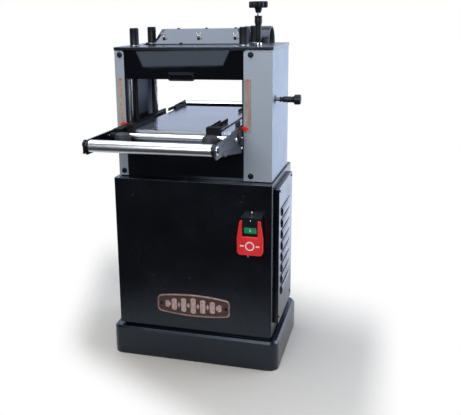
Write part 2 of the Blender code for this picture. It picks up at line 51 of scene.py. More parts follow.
CUTTER_Z, MOTOR_Z = 858.0, 230.0  # heights of the two shafts that the belts join
CHAIN_WHEEL = [(13.5, 566), (14, 567), (14, 570), (13.5, 571)]  # profile of a lift chain wheel
INK = (0.4, 0.15)  # how far the front and the back of a printed mark stand off a side cover


# ---- frame look-ups
def span(node):
    """Lowest and highest corner of a frame node, in millimetres."""
    low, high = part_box(node)
    return [v / MM for v in low], [v / MM for v in high]


def middle(node):
    low, high = span(node)
    return [(a + b) / 2 for a, b in zip(low, high)]


# ---- shape making
def wave(radius, angle, form):
    """Radius of a ring at an angle: plain, hexagonal, lobed or ribbed."""
    if form == "hex":
        sector = math.radians(60)
        return radius * math.cos(sector / 2) / math.cos(angle % sector - sector / 2)
    if form == "lobes":
        return radius * (1 + 0.10 * math.cos(6 * angle) - 0.035 * math.cos(12 * angle))
    if form == "ribs":
        return radius * (1 - 0.03 * (math.cos(24 * angle + 0.1) > 0))
    return radius


def rounded(x0, x1, y0, y1, radius, steps=5):
    """A rectangle's outline with round corners, from the lower left one on."""
    points = []
    for x, y, first in ((x0, y0, 180), (x1, y0, 270), (x1, y1, 0), (x0, y1, 90)):
        cx = x + radius if x == x0 else x - radius
        cy = y + radius if y == y0 else y - radius
        for k in range(steps + 1):
            angle = math.radians(first + 90 * k / steps)
            points.append((cx + radius * math.cos(angle), cy + radius * math.sin(angle)))
    return points


PLACES = {
    "x": lambda a, b, t: (t, a, b),
    "y": lambda a, b, t: (a, t, b),
    "z": lambda a, b, t: (a, b, t),
}


class Shape:
    """Closed solids gathered into one mesh."""

    def __init__(self):
        self.mesh = bmesh.new()

    def loft(self, *loops, closed=False):
        """Skin between loops of 3-D points that have one length, with end caps."""
        rings = [[self.mesh.verts.new(p) for p in loop] for loop in loops]
        count = len(rings[0])
        pairs = list(zip(rings, rings[1:]))
        if closed:
            pairs.append((rings[-1], rings[0]))
        for low, high in pairs:
            for i in range(count):
                j = (i + 1) % count
                self.mesh.faces.new((low[i], low[j], high[j], high[i]))
        if not closed:
            self.mesh.faces.new(rings[0])
            self.mesh.faces.new(rings[-1])
        return self

    def prism(self, axis, outline, start, end):
        place = PLACES[axis]
        return self.loft(*[[place(a, b, t) for a, b in outline] for t in (start, end)])

    def box(self, x0, x1, y0, y1, z0, z1):
        return self.prism("z", [(x0, y0), (x1, y0), (x1, y1), (x0, y1)], z0, z1)

    def turned(self, axis, centre, profile, segments=32, form=None, start=0.0, closed=False):
        """Turn (radius, height[, form]) points round an axis; closed joins the last ring to the first."""
        place = PLACES[axis]
        loops = []
        for radius, height, *own in profile:
            kind = own[0] if own else form
            loop = []
            for k in range(segments):
                angle = math.tau * k / segments
                r = wave(radius, angle, kind)
                loop.append(place(centre[0] + r * math.cos(angle + start),
                                  centre[1] + r * math.sin(angle + start), height))
            loops.append(loop)
        return self.loft(*loops, closed=closed)

    def rod(self, axis, centre, radius, start, end, segments=32):
        """A round bar with eased ends."""
        ease = min(0.6, radius / 2, abs(end - start) / 3)
        step = ease if end > start else -ease
        return self.turned(axis, centre, [(radius - ease, start), (radius, start + step),
                                          (radius, end - step), (radius - ease, end)], segments)

    def ring(self, axis, centre, inner, outer, start, end, segments=32):
        """A washer or sleeve: a tube with square ends."""
        profile = [(inner, start), (outer, start), (outer, end), (inner, end)]
        return self.turned(axis, centre, profile, segments, closed=True)

    def screw(self, axis, centre, face, out, radius, height=None):
        """A button-head screw with a hexagonal socket on a face; out is +1 or -1 along the axis."""
        h = (height or radius * 0.55) * out
        deep = face + h * 0.35
        profile = [(radius, face), (radius, face + h * 0.25), (radius * 0.93, face + h * 0.6),
                   (radius * 0.75, face + h * 0.88), (radius * 0.52, face + h),
                   (radius * 0.50, face + h * 0.98, "hex"), (radius * 0.46, deep, "hex")]
        return self.turned(axis, centre, profile, 24)

    def nut(self, axis, centre, face, out, radius, height, turn=0.0):
        h = height * out
        return self.turned(axis, centre, [(radius, face), (radius, face + h * 0.8),
                                          (radius * 0.9, face + h)], 24, "hex", turn)


def round_edges(made, bevel, segments, angle):
    """Round the edges with a bevel and keep the flat faces flat."""
    made.data.shade_smooth()
    if bevel:
        edge = made.modifiers.new("edges", "BEVEL")
        edge.width = bevel * MM
        edge.segments = segments
        edge.limit_method = "ANGLE"
        edge.angle_limit = math.radians(angle)
        even = made.modifiers.new("normals", "WEIGHTED_NORMAL")
        even.weight = 80
    else:
        made.data.set_sharp_from_angle(angle=math.radians(angle))


def settle(name, source, look, body, replaces, bevel, segments, angle):
    """Turn a bmesh into a named piece with its look, and let it ride a body."""
    mesh = bpy.data.meshes.new(name)
    source.to_mesh(mesh)
    source.free()
    made = bpy.data.objects.new(name, mesh)
    bpy.context.scene.collection.objects.link(made)
    round_edges(made, bevel, segments, angle)
    mesh.materials.clear()
    mesh.materials.append(LOOKS[look][0])
    if replaces:
        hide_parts(*replaces)
    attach(made, body)


def piece(name, shape, look, body="stand", replaces=(), bevel=0.0, segments=2, angle=35):
    """A piece made from a shape in millimetres."""
    source = shape.mesh
    bmesh.ops.recalc_face_normals(source, faces=source.faces)
    bmesh.ops.scale(source, verts=source.verts, vec=(MM, MM, MM))
    settle(name, source, look, body, replaces, bevel, segments, angle)


def refined(node, look, body="stand", bevel=0.8, segments=3, angle=30):
    """The frame's own solid with its flat faces merged and its edges rounded."""
    source = bmesh.new()
    source.from_mesh(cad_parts[node].data)
    bmesh.ops.remove_doubles(source, verts=source.verts, dist=1e-6)
    bmesh.ops.dissolve_limit(source, angle_limit=math.radians(1), verts=source.verts, edges=source.edges)
    settle(node + "_shell", source, look, body, (node,), bevel, segments, angle)


# ---- materials
LOOKS = {}
COOL, PALE_COOL = (0.72, 0.82, 1.0, 1.0), (0.74, 0.83, 1.0, 1.0)  # tints of reflections in black


class Graph:
    """A node tree with a short way to add a node and to feed its inputs."""

    def __init__(self, owner):
        owner.use_nodes = True
        self.nodes = owner.node_tree.nodes
        self.links = owner.node_tree.links

    def feed(self, node, inputs):
        """Give each input a value or the output of another node."""
        for socket, value in inputs.items():
            if isinstance(value, bpy.types.NodeSocket):
                self.links.new(value, node.inputs[socket])
            else:
                node.inputs[socket].default_value = value

    def add(self, kind, output, inputs=None, **settings):
        """Make a node and return one of its outputs."""
        node = self.nodes.new("ShaderNode" + kind)
        for setting, value in settings.items():
            setattr(node, setting, value)
        self.feed(node, inputs or {})
        return node.outputs[output]

    def between(self, value, low, high, start=0.35, end=0.65, kind="LINEAR"):
        """Map a value from start and end to low and high."""
        return self.add("MapRange", "Result", {"Value": value, "From Min": start, "From Max": end,
                                               "To Min": low, "To Max": high}, interpolation_type=kind)


class Look(Graph):
    """A procedural material: a Principled shader and the textures that feed it."""

    def __init__(self, name, slot, colour, roughness, metallic=0.0, **sockets):
        material = bpy.data.materials.new(name)
        super().__init__(material)
        self.shader = self.nodes["Principled BSDF"]
        self.feed(self.shader, {"Base Color": (*colour, 1.0), "Roughness": roughness, "Metallic": metallic})
        self.feed(self.shader, {socket.replace("_", " "): value for socket, value in sockets.items()})
        self.place = self.add("TexCoord", "Object")
        LOOKS[name] = (material, slot)

    def stretched(self, x, y, z):
        return self.add("Mapping", "Vector", {"Scale": (x, y, z), "Vector": self.place})

    def noise(self, scale, detail=4.0, place=None):
        return self.add("TexNoise", "Fac", {"Scale": scale, "Detail": detail, "Roughness": 0.55,
                                            "Vector": place or self.place})

    def cells(self, scale):
        return self.add("TexVoronoi", "Distance", {"Scale": scale, "Vector": self.place})

    def blend(self, share, first, second):
        """Colour the surface with two tones by a share from 0 to 1."""
        tone = self.add("Mix", 2, {"Factor": share, 6: (*first, 1.0), 7: (*second, 1.0)}, data_type="RGBA")
        self.feed(self.shader, {"Base Color": tone})
        return self

    def tones(self, first, second, scale, detail=4.0, place=None, start=0.35, end=0.65):
        """Colour the surface with two tones by a noise."""
        return self.blend(self.between(self.noise(scale, detail, place), 0, 1, start, end), first, second)

    def worn(self, low, high, scale, detail=4.0, place=None):
        """Let a noise move the roughness between two values."""
        rough = self.between(self.noise(scale, detail, place), low, high)
        self.feed(self.shader, {"Roughness": rough})
        return self

    def bump(self, height, strength, distance):
        """Bump the surface by a texture; distance is in millimetres."""
        normal = self.add("Bump", "Normal", {"Strength": strength, "Distance": distance * MM,
                                             "Height": height})
        self.feed(self.shader, {"Normal": normal})
        return self

    def grain(self, strength, distance, scale, detail=4.0):
        return self.bump(self.noise(scale, detail), strength, distance)

    def pitted(self, strength, distance, scale):
        return self.bump(self.cells(scale), strength, distance)


def make_looks():
    """Every finish on the machine, each with its own texture and wear."""
    make_paints()
    make_metals()
    make_plastics()
    make_prints()
    make_badge_looks()


def make_paints():
    paint = Look("gloss_black", "black_paint", (0.003, 0.0033, 0.004), 0.14, Specular_Tint=COOL)
    paint.tones((0.0045, 0.005, 0.0062), (0.006, 0.0065, 0.008), 9).worn(0.03, 0.07, 14, 6)
    paint.grain(0.02, 0.02, 300, 2)

    hood = Look("hood_black", "black_paint", (0.010, 0.011, 0.015), 0.20,
                Specular_Tint=(0.78, 0.86, 1.0, 1.0), Specular_IOR_Level=0.85)
    hood.worn(0.16, 0.25, 14, 6).grain(0.03, 0.03, 420, 2)

    stand = Look("stand_black", "black_paint", (0.003, 0.0035, 0.0045), 0.28,
                 Specular_Tint=(0.70, 0.80, 1.0, 1.0), Specular_IOR_Level=0.7)
    stand.tones((0.0018, 0.002, 0.0025), (0.003, 0.0034, 0.0042), 7).worn(0.21, 0.29, 11, 6)
    stand.grain(0.05, 0.03, 900, 2)

    silver = Look("silver_coat", "silver_paint", (0.33, 0.37, 0.43), 0.5, 0.15)
    silver.tones((0.29, 0.33, 0.385), (0.36, 0.405, 0.465), 1500, 2, start=0.4, end=0.6)
    silver.worn(0.46, 0.56, 16, 5).grain(0.15, 0.06, 1100, 2)

    cover = Look("cover_black", "black_paint", (0.003, 0.0034, 0.0045), 0.10, Specular_Tint=COOL)
    cover.worn(0.015, 0.035, 12, 5).grain(0.012, 0.02, 240, 2)

    plate = Look("plate_black", "black_paint", (0.006, 0.007, 0.010), 0.24,
                 Specular_Tint=PALE_COOL, Specular_IOR_Level=0.7)
    plate.worn(0.20, 0.27, 14, 6).grain(0.05, 0.03, 500, 2)

    liner = Look("liner_black", "black_paint", (0.003, 0.0034, 0.0045), 0.6, Specular_IOR_Level=0.05)
    liner.worn(0.55, 0.65, 20, 5)

    # Painted reflection: a sheet that is dark at the bottom and light blue at the top, standing in for a
    # reflection in the left liner's glossy inner face.
    painted_reflection = Look("painted_reflection_blue", "black_paint", (0.035, 0.048, 0.075), 0.5, Specular_IOR_Level=0.2)
    height = painted_reflection.add("SeparateXYZ", "Z", {"Vector": painted_reflection.place})
    painted_reflection.blend(painted_reflection.between(height, 0, 1, 0.735, 0.780), (0.016, 0.023, 0.040), (0.100, 0.130, 0.185))

    iron = Look("painted_iron", "cast_iron", (0.020, 0.022, 0.026), 0.5)
    iron.tones((0.014, 0.015, 0.018), (0.030, 0.032, 0.038), 50, 6).grain(0.5, 0.2, 260)

    arm = Look("arm_grey", "black_paint", (0.030, 0.035, 0.046), 0.34, 0.15, Specular_IOR_Level=0.35)
    drawn = arm.stretched(1, 0.5, 5)
    arm.tones((0.012, 0.014, 0.019), (0.052, 0.059, 0.076), 30, place=drawn)
    arm.worn(0.28, 0.42, 30, place=drawn).grain(0.1, 0.03, 800, 2)


def make_metals():
    Look("chromed", "chrome", (0.78, 0.78, 0.80), 0.26, 1.0).worn(0.24, 0.29, 12, 3)

    roller = Look("roller_steel", "chrome", (0.72, 0.73, 0.74), 0.29, 1.0)
    roller.tones((0.76, 0.77, 0.78), (0.81, 0.82, 0.83), 30, 3, roller.stretched(1, 8, 8))

    bright = Look("zinc_plate", "steel", (0.70, 0.71, 0.73), 0.22, 1.0)
    bright.worn(0.16, 0.34, 120, 5).grain(0.1, 0.05, 600, 3)

    dull = Look("dark_zinc", "steel", (0.16, 0.17, 0.19), 0.38, 1.0)
    dull.tones((0.10, 0.105, 0.12), (0.24, 0.25, 0.28), 60, 5).worn(0.3, 0.5, 120, 5)

    steel = Look("turned_steel", "steel", (0.42, 0.43, 0.45), 0.32, 1.0)
    steel.tones((0.34, 0.35, 0.37), (0.50, 0.51, 0.53), 30, 5).worn(0.24, 0.42, 90, 5)

    Look("oiled_thread", "steel", (0.012, 0.013, 0.016), 0.6, 0.4).worn(0.5, 0.7, 80, 5)

    ground = Look("ground_table", "cast_iron", (0.28, 0.30, 0.34), 0.20, 0.9)
    ground.tones((0.315, 0.342, 0.425), (0.33, 0.358, 0.44), 4, 2, start=0.3, end=0.7)
    ground.worn(0.235, 0.265, 6, 2)

    lip = Look("milled_lip", "cast_iron", (0.30, 0.31, 0.30), 0.38, 1.0)
    lip.worn(0.26, 0.44, 90, place=lip.stretched(1, 6, 8))


def make_plastics():
    plastic = Look("black_moulding", "black_plastic", (0.006, 0.0065, 0.008), 0.42,
                   Specular_IOR_Level=0.32, Specular_Tint=(0.80, 0.88, 1.0, 1.0))
    plastic.worn(0.36, 0.50, 60).pitted(0.12, 0.04, 1300)

    matt = Look("matt_black", "black_plastic", (0.004, 0.0045, 0.006), 0.55, Specular_IOR_Level=0.12)
    matt.worn(0.48, 0.62, 70).grain(0.1, 0.04, 900, 3)

    duct = Look("gloss_moulding", "black_plastic", (0.005, 0.006, 0.008), 0.26, Specular_Tint=PALE_COOL)
    duct.worn(0.22, 0.32, 40).grain(0.05, 0.03, 500, 2)

    Look("port_lining", "black_plastic", (0.05, 0.06, 0.085), 0.5).worn(0.42, 0.58, 40)

    soft = Look("soft_grip", "black_plastic", (0.030, 0.033, 0.038), 0.62)
    soft.tones((0.009, 0.011, 0.014), (0.019, 0.022, 0.028), 80, 5).pitted(0.3, 0.1, 900)

    red = Look("red_moulding", "red_plastic", (0.80, 0.030, 0.033), 0.33)
    red.tones((0.77, 0.026, 0.030), (0.88, 0.038, 0.042), 25).pitted(0.12, 0.05, 1200)

    green = Look("green_moulding", "green_plastic", (0.01, 0.30, 0.12), 0.25)
    green.tones((0.008, 0.25, 0.10), (0.014, 0.36, 0.15), 30)

    Look("belt_rubber", "rubber", (0.018, 0.018, 0.018), 0.8).grain(0.4, 0.1, 500)


def make_prints():
    """Enamel, the two scale strips and what is printed on them."""
    Look("red_enamel", "red_plastic", (0.75, 0.02, 0.015), 0.3).worn(0.25, 0.4, 60, 3)
    Look("white_print", "red_plastic", (0.80, 0.80, 0.80), 0.5).worn(0.42, 0.58, 200, 3)
    Look("scale_ink", "red_plastic", (0.70, 0.07, 0.012), 0.5).worn(0.42, 0.58, 100, 3)
    Look("scale_line", "black_plastic", (0.10, 0.08, 0.07), 0.5).worn(0.42, 0.58, 100, 3)
    for name, colour, roughness, first, second in (
            ("scale_strip", (0.30, 0.32, 0.30), 0.22, (0.22, 0.24, 0.225), (0.40, 0.42, 0.39)),
            ("scale_strip_pale", (0.36, 0.38, 0.34), 0.35, (0.30, 0.32, 0.28), (0.40, 0.42, 0.37))):
        strip = Look(name, "silver_paint", colour, roughness, 0.1)
        strip.tones(first, second, 26, 3, strip.stretched(1, 1, 0.6))


def make_badge_looks():
    badge = Look("badge_metal", "pewter", (0.40, 0.27, 0.25), 0.42, 0.7)
    badge.tones((0.28, 0.18, 0.165), (0.50, 0.36, 0.34), 90, 6, start=0.3, end=0.7)
    badge.grain(0.35, 0.1, 500)

    raised = Look("badge_raised", "pewter", (0.60, 0.42, 0.39), 0.36, 0.6)
    raised.tones((0.44, 0.29, 0.265), (0.80, 0.61, 0.58), 160, 5, start=0.3, end=0.7)
    raised.grain(0.45, 0.15, 420)

    field = Look("badge_field", "pewter", (0.16, 0.10, 0.095), 0.5, 0.7)
    stipple = field.between(field.cells(420), 0, 1, 0.1, 0.7)
    field.blend(stipple, (0.17, 0.10, 0.092), (0.07, 0.042, 0.038)).pitted(0.6, 0.2, 420)

    # The colour of the painted shadow behind the badge's ridges.
    Look("badge_painted_shadow", "pewter", (0.07, 0.045, 0.04), 0.6, 0.6).pitted(0.6, 0.2, 800)


# ---- stage, camera
def make_stage():
    """A pale floor with a painted shadow round the machine, fading into a white surround, five soft lights
    and the camera.
    """
    bpy.context.scene.view_settings.view_transform = "Standard"
    make_world()
    make_floor()
    for name, place, target, width, height, power, colour in (
            ("overhead_box", (-0.3, -0.5, 2.7), (0.0, 0.0, 0.7), 2.4, 1.8, 62, (0.90, 0.94, 1.0)),
            ("key_box", (0.2, -3.2, 1.8), (0.0, 0.0, 0.6), 2.2, 1.1, 67, (0.97, 0.985, 1.0)),
            ("right_box", (2.6, 0.9, 1.3), (0.0, 0.0, 0.6), 1.8, 1.8, 52, (0.74, 0.82, 1.0)),
            ("low_back_box", (1.3, 3.2, 0.2), (0.1, 0.0, 0.5), 2.4, 2.4, 15, (0.74, 0.82, 1.0)),
            ("front_card", (-1.27, -4.0, 0.62), (-1.208, -3.809, -0.36), 0.74, 0.95, 4.5, (0.9, 0.95, 1.0))):
        soft_light(name, place, target, width, height, power, colour)
    make_camera()


def make_world():
    """Reflections see a bright room behind and a dark one in front; the camera sees white."""
    world = bpy.data.worlds.new("studio")
    bpy.context.scene.world = world
    graph = Graph(world)
    graph.nodes.clear()
    depth = graph.add("SeparateXYZ", "Y", {"Vector": graph.add("TexCoord", "Generated")})
    dark, bright = 0.05, 1.0
    strength = graph.between(depth, dark, bright, -0.35, 0.45, "SMOOTHSTEP")
    room = graph.add("Background", 0, {"Color": (0.74, 0.82, 1.0, 1.0), "Strength": strength})
    white = graph.add("Background", 0, {"Color": (1.0, 1.0, 1.0, 1.0)})
    by_camera = graph.add("LightPath", "Is Camera Ray")
    both = graph.add("MixShader", "Shader", {"Fac": by_camera, 1: room, 2: white})
    graph.feed(graph.nodes.new("ShaderNodeOutputWorld"), {"Surface": both})


def make_floor():
    """A pale grey floor that is a painted shadow round the machine: for the camera it thins into white past
    five soft edges that outline a shadow pool, and for other rays in a circle.
    """
    reach, sides = 2.2, 64
    mesh = bpy.data.meshes.new("floor")
    rim = [(reach * math.cos(math.tau * k / sides), reach * math.sin(math.tau * k / sides), 0)
           for k in range(sides)]
    mesh.from_pydata(rim, [], [range(sides)])
    floor = bpy.data.objects.new("floor", mesh)
    bpy.context.scene.collection.objects.link(floor)
    pale = bpy.data.materials.new("floor_painted_shadow")
    graph = Graph(pale)
    place = graph.add("TexCoord", "Object")
    seen = 1.0
    # Painted shadow: the floor's grey shows only inside these five soft edges, which outline a shadow pool
    # round the machine.
    for toward, clear, solid in (((0.95, 0.30, 0), -0.50, -0.34), ((0.50, 0.87, 0), -0.44, -0.26),
                                 ((1, 0, 0), 0.60, 0.46), ((0.35, 0.94, 0), 0.62, 0.18),
                                 ((0, 1, 0), -0.80, -0.46)):
        along = graph.add("VectorMath", "Value", {0: place, 1: toward}, operation="DOT_PRODUCT")
        edge = graph.between(along, 0, 1, clear, solid, "SMOOTHSTEP")
        seen = graph.add("Math", "Value", {0: seen, 1: edge}, operation="MULTIPLY")
    distance = graph.add("VectorMath", "Value", {0: place}, operation="LENGTH")
    circle = graph.between(distance, 0, 1, 0.78, 0.38, "SMOOTHSTEP")
    by_camera = graph.add("LightPath", "Is Camera Ray")
    alpha = graph.add("Mix", "Result", {"Factor": by_camera, "A": circle, "B": seen})
    # The floor's grey is the colour of the painted shadow.
    graph.feed(graph.nodes["Principled BSDF"], {"Base Color": (0.505, 0.475, 0.425, 1.0),
                                                "Roughness": 0.9, "Alpha": alpha})
    mesh.materials.append(pale)


def soft_light(name, place, target, width, height, power, colour):
    light = bpy.data.lights.new(name, "AREA")
    light.shape = "RECTANGLE"
    light.size = width
    light.size_y = height
    light.energy = power
    light.color = colour
    holder = bpy.data.objects.new(name, light)
    holder.location = place
    aim = Vector(target) - Vector(place)
    holder.rotation_euler = aim.to_track_quat("-Z", "Y").to_euler()
    holder.visible_camera = False
    bpy.context.scene.collection.objects.link(holder)


def make_camera():
    """The viewing angle: from the front right, a little above the head."""
    azimuth, elevation, roll = math.radians(16.585), math.radians(13.927), math.radians(-1.023)
    look = Vector((-math.sin(azimuth) * math.cos(elevation), math.cos(azimuth) * math.cos(elevation),
                   -math.sin(elevation)))
    side = Vector((math.cos(azimuth), math.sin(azimuth), 0))
    above = side.cross(look)
    right = side * math.cos(roll) + above * math.sin(roll)
    up = above * math.cos(roll) - side * math.sin(roll)
    data = bpy.data.cameras.new("camera")
    data.sensor_width = 36.0
    data.lens = 53.516
    data.shift_x = 0.0651
    data.shift_y = -0.0542
    holder = bpy.data.objects.new("camera", data)
    holder.matrix_world = Matrix.Translation((0.5579, -1.9313, 1.0038)) @ Matrix(
        (right, up, -look)).transposed().to_4x4()
    bpy.context.scene.collection.objects.link(holder)
    bpy.context.scene.camera = holder


# ---- the stand
def make_stand():
    refined("plinth", "stand_black", bevel=2.5, segments=4)
    refined("cabinet", "stand_black", bevel=2.6, segments=4)
    (x0, y0, z0), (x1, y1, z1) = span("cabinet")
    heads = Shape()
    for x, z in ((-174, 498), (152, 510), (146, 493), (-118, 257), (-7, 258)):
        heads.screw("y", (x, z), y0, -1, 4.5)
    for x in (x0 + 25, x1 - 25):
        for z in (z0 + 60, z1 - 60):
            heads.screw("y", (x, z), y1, 1, 4.5)
    piece("stand_screws", heads, "black_moulding")
    make_vent()
    make_badge()
    make_switch()
    refined("motor_mount", "painted_iron", bevel=0.6)
    make_motor()


def make_vent():
    """A shallow pressed panel with eight scoops that nearly close over its slots."""
    low, high = span("vent_panel")
    refined("vent_panel", "stand_black", bevel=1.2)
    count, pitch, lowest, front, rear, swell = 8, 34.0, 215.0, -79.0, 64.0, 4.6
    face = high[0]
    hoods = Shape()
    for k in range(count):
        z = lowest + pitch * k
        loops = []
        for y, share in ((front, 0.7), (front + 1, 0.95), (front + 3, 1), (rear - 60, 0.85),
                         (rear - 25, 0.55), (rear - 8, 0.3), (rear, 0)):
            bulge = swell * share
            lip = face + 0.28 * bulge + 0.5
            loops.append([(face - 1.2, y, z - 16), (face + 0.6 * bulge, y, z - 13),
                          (face + 0.92 * bulge, y, z - 8), (face + bulge, y, z),
                          (face + 0.9 * bulge, y, z + 5), (lip + 0.25 * bulge, y, z + 9),
                          (lip, y, z + 11), (lip - 0.8, y, z + 11),
                          (lip - 0.8 + 0.2 * bulge, y, z + 8), (face - 2.0, y, z - 12)])
        hoods.loft(*loops)
    piece("vent_louvres", hoods, "stand_black", angle=50)
    heads = Shape()
    for y in (low[1] + 9, high[1] - 16):
        for z in (low[2] + 20, high[2] - 10):
            heads.screw("x", (y, z), face - 0.2, 1, 4.2, 2.2)
    piece("vent_screws", heads, "black_moulding")


def barrel(half_x, half_z, steps=28):
    """Outline of a long plate with a swollen middle and rounded ends."""
    upper = []
    for k in range(steps + 1):
        t = -math.cos(math.pi * k / steps)
        swell = (1 - 0.28 * t * t) * (1 - 0.35 * abs(t) ** 40)
        upper.append((half_x * t, half_z * swell))
    return upper + [(x, -z) for x, z in reversed(upper)]


def make_badge():
    """A cast badge with a raised rim, a plain ridge pattern and a painted shadow under the ridges."""
    low, high = span("badge")
    cx, _, cz = middle("badge")
    back, front = high[1], low[1]
    half_x, half_z = (high[0] - low[0]) / 2, (high[2] - low[2]) / 2
    plate = Shape()
    loops = []
    for grow, y in ((0, back), (0, front + 1.2), (-1.6, front), (-3.8, front), (-4.6, front + 1.6)):
        loops.append([(cx + x, y, cz + z) for x, z in barrel(half_x + grow, half_z + grow)])
    plate.loft(*loops)
    piece("badge_plate", plate, "badge_metal", replaces=("badge",))
    field = Shape()
    field.loft(*[[(cx + x, y, cz + z) for x, z in barrel(half_x - 4.6, half_z - 4.6)]
                 for y in (front + 1.7, front + 1.3)])
    piece("badge_field", field, "badge_field")
    relief, shadow = Shape(), Shape()
    for k in range(-5, 6):
        if k % 2 == 0:
            reach = 22 - abs(k) * 1.6
            points = [(-8, -reach), (0, -reach - 3), (8, -reach), (8, reach), (0, reach + 3), (-8, reach)]
        else:
            reach = 9
            points = [(-5, 0), (0, -reach), (5, 0), (0, reach)]
        place = cx + k * 14.5
        relief.prism("y", [(place + x, cz + z) for x, z in points], front + 1.3, front - 0.2)
        # Painted shadow: a dark sheet just behind each ridge, a little larger and set lower and to the right.
        shadow.prism("y", [(place + x * 1.16 + 0.5, cz + z * 1.07 - 0.8) for x, z in points],
                     front + 1.3, front + 1.0)
    for side in (-1, 1):
        points = [(-5, -12), (5, -9), (5, 9), (-5, 12)]
        outline = [(cx + side * (half_x - 30 + x), cz + z) for x, z in points]
        relief.prism("y", outline, front + 1.3, front - 0.2)
    piece("badge_relief", relief, "badge_raised", bevel=0.9, segments=3)
    piece("badge_shadow", shadow, "badge_painted_shadow")
    heads = Shape()
    for side in (-1, 1):
        heads.screw("y", (cx + side * (half_x - 12), cz), front + 1.4, -1, 4.2, 1.2)
    piece("badge_screws", heads, "matt_black")


def make_switch():
    """Switch box, start button and a fork-shaped stop paddle."""
    refined("switch_box", "black_moulding", bevel=1.2)
    refined("start_button", "green_moulding", "start_button", bevel=1.0)
    refined("stop_paddle", "red_moulding", "stop_paddle", bevel=1.6, segments=4)
    low, _ = span("stop_paddle")
    cx, face = middle("stop_paddle")[0], low[1]
    sign = Shape()
    sign.ring("y", (cx, low[2] + 27), 9.5, 13, face - 0.3, face + 0.5, 40)
    for side in (-1, 1):
        sign.box(cx + side * 22 - 5, cx + side * 22 + 5, face - 0.3, face + 0.5, low[2] + 25, low[2] + 29)
    piece("paddle_sign", sign, "white_print", "stop_paddle")
    blow, bhigh = span("start_button")
    bar = Shape()
    bar.prism("y", rounded(cx - 1.1, cx + 1.1, blow[2] + 5, bhigh[2] - 5, 1), blow[1] - 0.2, blow[1] + 0.5)
    piece("button_sign", bar, "white_print", "start_button")
    box_low, box_high = span("switch_box")
    cabinet_front = span("cabinet")[0][1]
    heads = Shape()
    heads.screw("y", (cx + 1, box_high[2] - 8.5), box_low[1] + 1.2, -1, 2.6, 1.2)
    heads.screw("y", (cx - 2, box_high[2] + 5.5), cabinet_front, -1, 3)
    heads.screw("y", (cx - 12.5, low[2] - 15), cabinet_front, -1, 3.4)
    piece("switch_screws", heads, "zinc_plate")


def make_motor():
    """A finned motor with end shields and a terminal box."""
    low, high = span("motor")
    cy, cz = 0.0, high[2] - 65
    x0, x1, radius = low[0], high[0], 65
    body = Shape()
    body.turned("x", (cy, cz), [(radius - 22, x0), (radius - 10, x0 + 3), (radius - 4, x0 + 12),
                                (radius - 4, x1 - 12), (radius - 12, x1 - 3), (radius - 24, x1)], 40)
    fins = 28
    for k in range(fins):
        angle = math.tau * k / fins
        across = Vector((0, -math.sin(angle), math.cos(angle))) * 1.2
        out = Vector((0, math.cos(angle), math.sin(angle)))
        centre = Vector((0, cy, cz))
        inner, outer = centre + out * (radius - 6), centre + out * (radius - 0.2)
        if outer.z < cz - 55 or (outer.y < -45 and abs(outer.z - cz) < 34):
            continue
        corners = [inner - across, inner + across, outer + across, outer - across]
        body.loft(*[[(x, p.y, p.z) for p in corners] for x in (x0 + 16, x1 - 16)])
    body.box(-40, 130, -50, 50, low[2] + 0.2, low[2] + 14)
    body.box(0, 90, low[1], -50, cz - 30, cz + 30)
    piece("motor_housing", body, "painted_iron", replaces=("motor",))


# ---- head, fixed parts
def make_head():
    refined("base", "gloss_black", bevel=1.0)
    for side in ("left", "right"):
        refined(side + "_liner", "liner_black", bevel=0.4)
    inner = span("left_liner")[1][0]
    # A thin sheet on the left liner's inner face that carries the painted reflection.
    painted_reflection = Shape().prism("x", rounded(-32, 58, 711, 818, 3), inner - 0.2, inner + 0.3)
    piece("liner_painted_reflection", painted_reflection, "painted_reflection_blue")
    for side in ("left", "right"):
        refined(side + "_cover", "silver_coat", bevel=1.6, segments=4)
    refined("top_plate", "plate_black", bevel=1.2)
    refined("front_cover", "cover_black", bevel=1.0)
    make_cover_frame()
    refined("rear_cover", "gloss_black", bevel=0.6)
    refined("head_frame", "painted_iron", bevel=1.0)
    refined("feed_gearbox", "painted_iron", bevel=2.5)
    heads = Shape()
    front, rear = span("left_cover")[0][1], span("left_cover")[1][1]
    for x, zs in ((-209, (893, 562)), (165.6, (893, 562.6))):
        for z in zs:
            heads.screw("y", (x, z), front, -1, 8)
            heads.screw("y", (x, z), rear, 1, 8)
    piece("cover_screws", heads, "black_moulding")
    make_scales()
    for place in ("front_left", "front_right", "rear_left", "rear_right"):
        make_column(place)


def make_cover_frame():
    """The stamped outline on the tab below the front cover."""
    low, _ = span("front_cover")
    x0, x1, z0, z1 = -64, 7, low[2] + 2, low[2] + 19
    outlines = [rounded(x0 + inset, x1 - inset, z0 + inset, z1 - inset, 5 - inset) for inset in (0, 1.6)]
    face = low[1]
    frame_ring = Shape()
    frame_ring.loft(*[[(x, y, z) for x, z in outlines[k]]
                      for k, y in ((0, face + 0.4), (0, face - 0.5), (1, face - 0.5), (1, face + 0.4))],
                    closed=True)
    piece("cover_tab_frame", frame_ring, "hood_black", bevel=0.2)


SEGMENTS = {1: "bc", 2: "abged", 3: "abgcd", 4: "fgbc", 5: "afgcd", 6: "afgedc", 7: "abc", 8: "abcdefg",
            9: "abcdfg", 0: "abcdef"}


def numeral(shape, number, x, z, face, height):
    """A plain figure made of straight strokes, for a ruler."""
    wide, thick = height * 0.5, height * 0.15
    strokes = {"a": (0, 1, 1), "g": (0, 0.5, 1), "d": (0, 0, 1), "f": (0, 0.5, 0), "b": (1, 0.5, 0),
               "e": (0, 0, 0), "c": (1, 0, 0)}
    for segment in SEGMENTS[number]:
        across, up, level = strokes[segment]
        if level:
            x0, x1 = x - wide / 2, x + wide / 2
            z0 = z + (up - 0.5) * height - thick / 2
            z1 = z0 + thick
        else:
            x0 = x + (across - 0.5) * wide - thick / 2
            x1 = x0 + thick
            z0 = z + (up - 0.5) * height
            z1 = z0 + height / 2
        shape.box(x0, x1, face - INK[0], face - INK[1], z0, z1)


